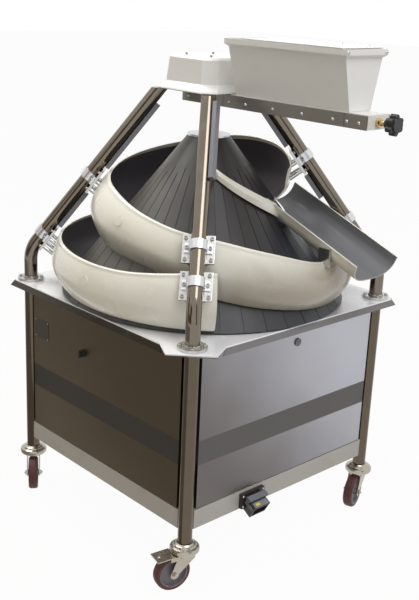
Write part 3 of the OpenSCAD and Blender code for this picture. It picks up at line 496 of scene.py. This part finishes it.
# Finish and edge rounding in millimetres of each CAD node
finishes = {
    "leg_tubes": (shaded_leg_steel, 0), "table_top": (table_paint, 0.6), "front_panel": (shaded_front_steel, 1.0),
    "right_panel": (side_steel, 1.0), "left_panel": (side_steel, 1.0), "rear_panel": (side_steel, 1.0),
    "plinth_rails": (plinth_steel, 1.0), "floor_plate": (sheet_steel, 0),
    "bearing_housing": (motor_paint, 1.5), "main_shaft": (turned_steel, 0.8),
    "driven_pulley": (turned_steel, 0.6), "drive_pulley": (turned_steel, 0.6),
    "drive_belt": (belt_rubber, 0.5), "gear_motor": (motor_paint, 2.5), "motor_bracket": (sheet_steel, 0.6),
    "cone_shell": (cone_coat, 0.3), "cone_hub": (turned_steel, 0.5), "cone_cap": (cap_metal, 0.8),
    "upright_tubes": (tube_steel, 0), "upright_discs": (turned_steel, 1.0), "disc_bolts": (bolt_steel, 0.6),
    "hub_plate": (dark_steel, 0.6), "hub_cover": (cover_paint, 3.0), "air_ducts": (strip_plastic, 1.5),
    "clamp_plates": (turned_steel, 1.0), "clamp_saddles": (cap_metal, 0.8),
    "clamp_screws": (dark_steel, 0.6), "track_standoffs": (turned_steel, 0.5),
    "chute_guide": (track_paint, 0.6), "chute_brackets": (turned_steel, 0.8),
    "duster_bars": (dark_steel, 0.6), "duster_tray": (cover_paint, 1.0),
    "hopper": (cover_paint, 2.0), "hopper_lid": (cover_paint, 0.8), "lid_hinges": (bolt_steel, 0.4),
    "dosing_roller": (brass, 0.6), "star_knob": (black_plastic, 2.0),
    "connector_housing": (socket_plastic, 1.5), "connector_insert": (insert_plastic, 0.3),
    "connector_lever": (grey_plastic, 1.2), "switch_body": (black_plastic, 0.8),
    "switch_knob": (black_plastic, 1.2), "panel_lock": (grey_plastic, 0.8),
    "name_plate": (plate_grey, 0.3), "caster_cups": (zinc, 0.8), "brake_front": (zinc, 1.0),
    "wheel_front": (core_plastic, 1.0), "tread_front": (tread_rubber, 1.0),
}
for corner in ("front", "left", "right", "rear"):
    finishes["fork_" + corner] = (zinc, 0.8)
for node, (look, width) in finishes.items():
    dress(node, look, width * MM)


# Spiral track: the wall swept smoothly through its measured stations

# Degrees clockwise, then the lower edge, top edge and top edge's lean outwards, in millimetres
STATIONS = [
    (38, 15, 208, 4), (75, 20, 184, 12), (115, 24, 190, 12), (165, 28, 200, 12), (250, 30, 200, 12),
    (320, 32, 196, 10), (352, 41, 204, 8), (376, 67, 255, 6), (397, 100, 296, 8), (415, 140, 316, 8),
    (433, 171, 344, 4), (460, 188, 390, -14), (495, 204, 424, -26), (555, 246, 484, -18),
    (605, 290, 530, -22), (640, 318, 522, 16), (688, 352, 470, 48)]
TABLE = 840
WALL, BULGE, CLEAR = 8, 40, 3
LIP = 0.022
CONE_R, CONE_K, CONE_LIFT = 512, 437 / 556, 6


def cone_at(z):
    return CONE_R - CONE_K * (z - CONE_LIFT)


def station_curve(turn, k):
    """Cubic through the stations' column k, as the frame's track is drawn."""
    last = len(STATIONS) - 1
    i = max(n for n in range(last) if n == 0 or STATIONS[n][0] <= turn)

    def slope(n):
        if n in (0, last):
            return 0.0
        return (STATIONS[n + 1][k] - STATIONS[n - 1][k]) / (STATIONS[n + 1][0] - STATIONS[n - 1][0])

    p, q = STATIONS[i], STATIONS[i + 1]
    w = q[0] - p[0]
    s = min(1.0, max(0.0, (turn - p[0]) / w))
    return (p[k] * (2 * s**3 - 3 * s**2 + 1) + q[k] * (3 * s**2 - 2 * s**3)
            + slope(i) * w * (s**3 - 2 * s**2 + s) + slope(i + 1) * w * (s**3 - s**2))


def track_point(turn, share, out):
    """Point of the wall, in metres, at a share of its height and a distance out from its inner face."""
    low, high, top = (station_curve(turn, k) for k in (1, 2, 3))
    belly = (BULGE * math.sin(math.pi / 2 * min(1, share / 0.5))
             + (top - BULGE) * (max(0, share - 0.45) / 0.55) ** 2)
    r = cone_at(low) + CLEAR + belly + out
    a = -math.radians(turn)
    return Vector((r * math.cos(a), r * math.sin(a), TABLE + low + share * (high - low))) * MM


def wall_profile(rows=22):
    """(distance out, share of height) round the wall: up its inner face, over the lip, down and under."""
    inside = [(0.0, LIP + (1 - 2 * LIP) * i / rows) for i in range(rows)]
    over = [(0.0, 1 - LIP), (0.6, 1 - LIP * 0.3), (2.6, 1.0), (WALL - 1.5, 1.0), (WALL + 1.2, 1 - LIP * 0.3),
            (WALL + 1.4, 1 - LIP * 1.3), (WALL, 1 - LIP * 1.9)]
    outside = [(WALL, 1 - LIP * 1.9 - (1 - LIP * 2.5) * i / rows) for i in range(1, rows)]
    under = [(WALL - 0.6, 0.004), (WALL - 2, 0.0), (2.0, 0.0), (0.6, 0.004)]
    return inside + over + outside + under


def track_length(name, first, last):
    """One length of wall: its profile spun round a plain reel, then moved on to the track's own course."""
    reel = 100
    shape = bmesh.new()
    ring = [shape.verts.new((reel + out, 0, share)) for out, share in wall_profile()]
    for pair in zip(ring, ring[1:] + ring[:1]):
        shape.edges.new(pair)
    bmesh.ops.spin(shape, geom=shape.verts[:] + shape.edges[:], cent=(0, 0, 0), axis=(0, 0, 1),
                   angle=math.radians(last - first), steps=math.ceil((last - first) / 2))
    for face in shape.faces:
        face.material_index = all(v.co.xy.length < reel + 0.1 and LIP * 0.9 < v.co.z < 1 - LIP * 1.5
                                  for v in face.verts)
    ends = bmesh.ops.holes_fill(shape, edges=[edge for edge in shape.edges if edge.is_boundary])
    for face in ends["faces"]:
        face.material_index = 0
    for vert in shape.verts:
        turned = math.degrees(math.atan2(vert.co.y, vert.co.x)) % 360
        vert.co = track_point(first + turned, vert.co.z, vert.co.xy.length - reel)
    shape.normal_update()
    bmesh.ops.recalc_face_normals(shape, faces=shape.faces[:])
    piece(name + "_wall", shape, [track_paint, lining], stands_for=(name,), sharp=50)


# The three lengths, with a hair's gap where they meet
track_length("track_lower", 38, 267.96)
track_length("track_middle", 268.04, 469.96)
track_length("track_upper", 470.04, 688)


def wall_place(turn, share):
    """Matrix on the wall's outer face, with Z pointing out of it."""
    along = track_point(turn + 0.5, share, WALL) - track_point(turn - 0.5, share, WALL)
    upward = track_point(turn, share + 0.02, WALL) - track_point(turn, share - 0.02, WALL)
    return facing(track_point(turn, share, WALL), along.cross(upward), upward)


# Screws with a round socket in the head

def button_screw(radius, height):
    return lathe([(0, height * 0.45), (radius * 0.42, height * 0.45), (radius * 0.44, height * 0.98),
                  (radius * 0.6, height * 0.93), (radius * 0.85, height * 0.62), (radius, height * 0.12),
                  (radius, -0.3 * MM), (0, -0.3 * MM)], 20)


def cap_screw(radius, height):
    return lathe([(0, height * 0.5), (radius * 0.5, height * 0.5), (radius * 0.52, height),
                  (radius * 0.88, height), (radius, height - radius * 0.12),
                  (radius, -0.3 * MM), (0, -0.3 * MM)], 20)


def at(x, y, z, out):
    """Place in millimetres that faces out."""
    return facing(Vector((x, y, z)) * MM, out)


def scatter(name, part, places, look, body="frame"):
    """One piece made of the same part at many places."""
    target = bmesh.new()
    stamp(target, part, places)
    piece(name, target, [look], body)


BAR_Z, BAR_HALF = 1537.95, 55
bar_screws = [at(x, side * BAR_HALF, BAR_Z - 3, (0, side, 0)) for side in (-1, 1)
              for x in (-52, 83, 148, 228, 351, 476, 601, 656, 702)]
scatter("bar_screws", button_screw(5.5 * MM, 3 * MM), bar_screws, bolt_steel)
scatter("hopper_screws", button_screw(6 * MM, 3.4 * MM),
        [at(665, y, 1733, (1, 0, 0)) for y in (-83, 96)] + [at(151, y, 1733, (-1, 0, 0)) for y in (-83, 96)],
        bolt_steel)
scatter("bar_joints", block((0.9 * MM, 0.8 * MM, 41 * MM)),
        [Matrix.Translation(Vector((x, side * 55.1, BAR_Z)) * MM) for side in (-1, 1) for x in (122, 645)],
        black_plastic)
scatter("knob_bush",
        lathe(in_metres((0, 24), (8, 24), (9, 23), (9, 10), (13, 8), (14, 6), (14, 0.1), (0, 0.1))),
        [at(730, 0, BAR_Z, (1, 0, 0))], brass, "doser")

# Round pads on the track's outer face
scatter("track_pads", lathe(in_metres((0, 4.2), (13, 4.2), (15, 3.2), (16, -2), (0, -2)), 28),
        [wall_place(*place) for place in ((88, 0.65), (446, 0.7), (262, 0.6), (600, 0.6))], track_paint)

# Casters: a bearing ring and two axle screws ride on each fork
LEG_AT, TRAIL, AXLE_Z = 450, 45, 62.5
TREAD_INNER = 50.4
CASTERS = (("front", 1, -1, -104), ("left", -1, -1, -35), ("right", 1, 1, -71), ("rear", -1, 1, 200))
for corner, sx, sy, heading in CASTERS:
    stand = (Matrix.Translation(Vector((sx * LEG_AT, sy * LEG_AT, 0)) * MM)
             @ Matrix.Rotation(math.radians(heading), 4, "Z"))
    trim = bmesh.new()
    stamp(trim, lathe(in_metres((45.05, 133), (47.2, 133), (47.6, 134), (47.2, 135.4), (45.05, 135.4),
                                (45.05, 133)), 48), [stand])
    stamp(trim, cap_screw(5 * MM, 4 * MM),
          [stand @ at(TRAIL, side * 31, AXLE_Z, (0, side, 0)) for side in (-1, 1)])
    piece("caster_trim_" + corner, trim, [bolt_steel], "swivel_" + corner)


# Parts with more than one finish

def wheel_rule(corner, sx, sy, heading):
    """Tread outside, core inside its inner radius."""
    turned = math.radians(heading)
    ahead = Vector((math.cos(turned), math.sin(turned), 0))
    centre = (Vector((sx * LEG_AT, sy * LEG_AT, AXLE_Z)) + ahead * TRAIL) * MM
    axis = Vector((-ahead.y, ahead.x, 0))

    def pick(point, normal):
        arm = point - centre
        return 1 if (arm - axis * arm.dot(axis)).length < TREAD_INNER * MM else 0
    return pick


for caster in CASTERS[1:]:
    recast("wheel_" + caster[0], "roll_" + caster[0], [tread_rubber, core_plastic], wheel_rule(*caster),
           0.8 * MM)


# The chute's middle line, and its half width between the rims, in millimetres
CHUTE_Y, CHUTE_HALF = 195, 105.5


def chute_rule(point, normal):
    """Inside of the trough: faces that look up or across it."""
    across = point.y - CHUTE_Y * MM
    inward = normal.y * -across
    rim = abs(across) > CHUTE_HALF * MM
    return 1 if not rim and (normal.z > 0.35 or inward > 0.02) and abs(normal.x) < 0.8 else 0


recast("chute", "frame", [track_paint, chute_grey], chute_rule, 0.5 * MM)

# Cabinet fittings
SOCKET = Matrix.Translation(Vector((463.05, -165, 260)) * MM) @ Matrix.Rotation(math.radians(30), 4, "Y")


def on_socket(x, y, z):
    """Place in millimetres on the tilted cable socket."""
    return SOCKET @ Matrix.Translation(Vector((x, y, z)) * MM)


scatter("socket_flap", block((22 * MM, 66 * MM, 3.4 * MM), 0.8 * MM), [on_socket(58, 0, 1.6)], flap_grey)
scatter("socket_label", block((10 * MM, 17 * MM, 0.6 * MM), 0.15 * MM),
        [on_socket(58, -14, 3.5)], yellow_patch)
scatter("socket_rim", block((3.4 * MM, 76.6 * MM, 5 * MM), 1.2 * MM),
        [on_socket(69, 0, -1.6), on_socket(69, 0, -44.4)], socket_plastic)
scatter("socket_screws", button_screw(4.2 * MM, 3 * MM),
        [at(477, y, z, (1, 0, 0)) for y in (-212, -118) for z in (218, 256)], bolt_steel)
scatter("plate_pins", button_screw(2.4 * MM, 1.4 * MM),
        [at(x, -463.2, z, (0, -1, 0)) for x in (-400, -324) for z in (637, 699)], bolt_steel)


# Floor, world and lamps

def background_rays(look):
    """1 for the rays that see the background: straight on, mirrored or through glass."""
    rays = [look.node("ShaderNodeLightPath", {}, (), name)
            for name in ("Is Camera Ray", "Is Glossy Ray", "Is Transmission Ray")]
    return (rays[0] + rays[1] + rays[2]).least(1.0)


def stage_sheet(look, width, depth, middle):
    """Flat rectangle of the studio, not a piece of the object."""
    name = look.owner.name
    shape = bmesh.new()
    bmesh.ops.create_grid(shape, x_segments=1, y_segments=1, size=0.5,
                          matrix=middle @ Matrix.Diagonal((width, depth, 1, 1)))
    mesh = bpy.data.meshes.new(name)
    shape.to_mesh(mesh)
    shape.free()
    mesh.materials.append(look.owner)
    made = bpy.data.objects.new(name, mesh)
    bpy.context.scene.collection.objects.link(made)
    return made


def soft_floor():
    """Pale floor, white as a background, that keeps a soft shadow."""
    look = new_look("floor")
    matt = look.node("ShaderNodeBsdfDiffuse", {}, {"Color": rgb(0.56, 0.54, 0.51)})
    glow = look.node("ShaderNodeEmission", {}, {"Color": rgb(1, 1, 1), "Strength": 1.0})
    mixed = look.node("ShaderNodeMixShader", {}, (background_rays(look) * 0.96, matt, glow))
    look.node("ShaderNodeOutputMaterial", {}, {"Surface": mixed})
    stage_sheet(look, 60, 60, Matrix())


def studio_card(name, tone, width, depth, middle):
    """Dark card that only polished metal mirrors, as beside a real product on a white sweep."""
    look = new_look(name)
    flat = look.node("ShaderNodeEmission", {}, {"Color": rgb(*tone), "Strength": 1.0})
    look.node("ShaderNodeOutputMaterial", {}, {"Surface": flat})
    card = stage_sheet(look, width, depth, middle)
    card.visible_camera = card.visible_diffuse = card.visible_transmission = card.visible_shadow = False


def studio_world():
    """White background; its light is a little warmer and dimmer from the left."""
    world = bpy.data.worlds.new("studio")
    bpy.context.scene.world = world
    look = Look(world)
    way = look.node("ShaderNodeTexCoord", {}, (), "Generated")
    x, y = (look.node("ShaderNodeSeparateXYZ", {}, (way,), letter) for letter in "XY")
    soft = look.blend((x * 0.7 + y * 0.7).ramp(-0.8, 0.8), rgb(0.28, 0.25, 0.205), rgb(0.78, 0.78, 0.81))
    color = look.blend(background_rays(look), soft, rgb(1, 1, 1))
    sky = look.node("ShaderNodeBackground", {}, {"Color": color, "Strength": 1.0})
    look.node("ShaderNodeOutputWorld", {}, {"Surface": sky})


def lamp(name, at, towards, size, watts, color):
    data = bpy.data.lights.new(name, "AREA")
    data.shape, data.size, data.energy, data.color = "DISK", size, watts, color
    made = bpy.data.objects.new(name, data)
    bpy.context.scene.collection.objects.link(made)
    made.matrix_world = facing(at, Vector(at) - Vector(towards))


soft_floor()
studio_world()
studio_card("low_card", (0.40, 0.37, 0.33), 4.4, 3.0, Matrix.Translation((-1.75, -2.1, 0.004)))
studio_card("left_card", (0.20, 0.165, 0.125), 7.0, 3.4, facing((-1.6, -4.6, 1.75), (0.1, 1, 0)))
studio_card("right_card", (0.16, 0.15, 0.14), 1.1, 3.6, facing((4.6, -0.4, 1.8), (-1, 0.1, 0)))
lamp("key", (2.3, -0.3, 4.4), (0.2, 0, 0.8), 2.4, 58, (0.96, 0.97, 1.0))
lamp("top", (-1.6, -0.6, 4.2), (0, 0, 0.9), 2.6, 80, (1.0, 0.99, 0.97))
lamp("fill", (-1.2, -4.2, 2.2), (0, 0, 0.8), 2.5, 9, (1.0, 0.93, 0.82))
